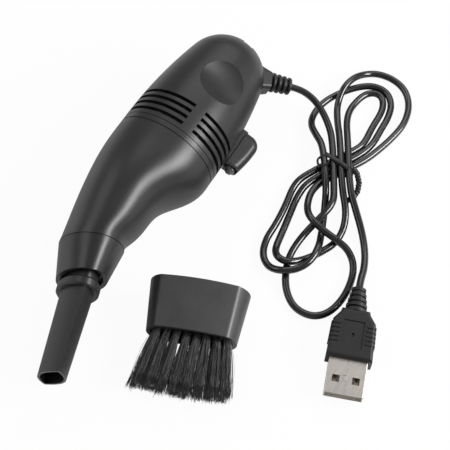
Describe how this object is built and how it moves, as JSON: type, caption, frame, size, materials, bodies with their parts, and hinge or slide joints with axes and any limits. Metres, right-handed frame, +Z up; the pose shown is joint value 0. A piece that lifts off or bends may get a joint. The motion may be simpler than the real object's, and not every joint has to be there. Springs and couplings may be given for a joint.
{
  "type": "keyboard vacuum cleaner",
  "caption": "Small black USB hand vacuum lying on its flank, with a flat crevice nozzle, a lamp hood, a corded USB plug in a tied hank, and a loose brush head.",
  "frame": {"origin": "on the table, under the middle of the vacuum and its brush head", "axes": "+X from the cord end towards the nozzle, +Z up from the table"},
  "size_m": [0.1598, 0.1108, 0.0357],
  "materials": {
    "housing": "satin near-black moulded plastic",
    "nozzle": "satin near-black moulded plastic",
    "steel": "plated steel",
    "motor_steel": "drawn steel and stacked sheets",
    "filter_cloth": "white felt",
    "inner_plastic": "plain black plastic",
    "pale_plastic": "off-white plastic",
    "contact_brass": "bright",
    "carbon": "pressed carbon",
    "magnet": "sintered ferrite",
    "bush_bronze": "sintered bronze",
    "winding_wire": "lacquered copper wire",
    "clear_lens": "clear",
    "wire_sleeve": "soft wire sleeve",
    "switch": "satin",
    "board": "lacquered board",
    "relief": "soft moulded",
    "cord": "satin cable jacket",
    "tie": "flat coated wire",
    "overmould": "soft moulded",
    "plug_steel": "nickel-plated sheet",
    "tongue": "moulded",
    "brush_head": "satin near-black moulded plastic",
    "bristles": "nylon filaments"
  },
  "bodies": {
    "body": {"housing_upper": "housing", "housing_lower": "housing", "housing_screws": "steel", "fan_shroud": "inner_plastic", "motor_can": "motor_steel", "motor_end_cap": "pale_plastic", "motor_terminals": "contact_brass", "motor_brushes": "carbon", "motor_magnets": "magnet", "motor_mount": "inner_plastic", "front_bush": "bush_bronze", "rear_bush": "bush_bronze", "lamp_hood": "housing", "lamp_led": "clear_lens", "lamp_wires": "wire_sleeve", "switch_body": "inner_plastic", "circuit_board": "board", "supply_wires": "wire_sleeve", "strain_relief": "relief", "cord_lead": "cord", "cord_hank": "cord", "cord_tail": "cord", "twist_tie": "tie", "plug_overmould": "overmould", "plug_shell": "plug_steel", "plug_tongue": "tongue", "plug_contacts": "contact_brass"},
    "rotor": {"motor_shaft": "steel", "rotor_core": "motor_steel", "rotor_windings": "winding_wire", "commutator": "contact_brass", "impeller": "inner_plastic"},
    "switch": {"switch_slider": "switch"},
    "chamber": {"dust_chamber": "housing", "nose_cone": "housing", "filter_frame": "housing", "filter_cloth": "filter_cloth"},
    "nozzle": {"crevice_nozzle": "nozzle"},
    "brush": {"brush_cap": "brush_head", "brush_block": "brush_head", "brush_bristles": "bristles"}
  },
  "joints": [
    {"name": "rotor_spin", "type": "hinge", "parent": "body", "child": "rotor", "pos_m": [-0.03939, -0.02091, 0.01761], "axis": [1, 0, 0], "continuous": true},
    {"name": "power_slide", "type": "slide", "parent": "body", "child": "switch", "axis": [0, 0.3584, 0.9336], "range_m": [0, 0.0034]},
    {"name": "chamber_pull", "type": "slide", "parent": "body", "child": "chamber", "axis": [1, 0, 0], "range_m": [0, 0.02]},
    {"name": "nozzle_pull", "type": "slide", "parent": "chamber", "child": "nozzle", "axis": [0.9466, 0.3009, -0.1155], "range_m": [0, 0.012]},
    {"name": "brush_lift", "type": "slide", "parent": "body", "child": "brush", "axis": [0, 0, 1], "range_m": [0, 0.03]}
  ]
}
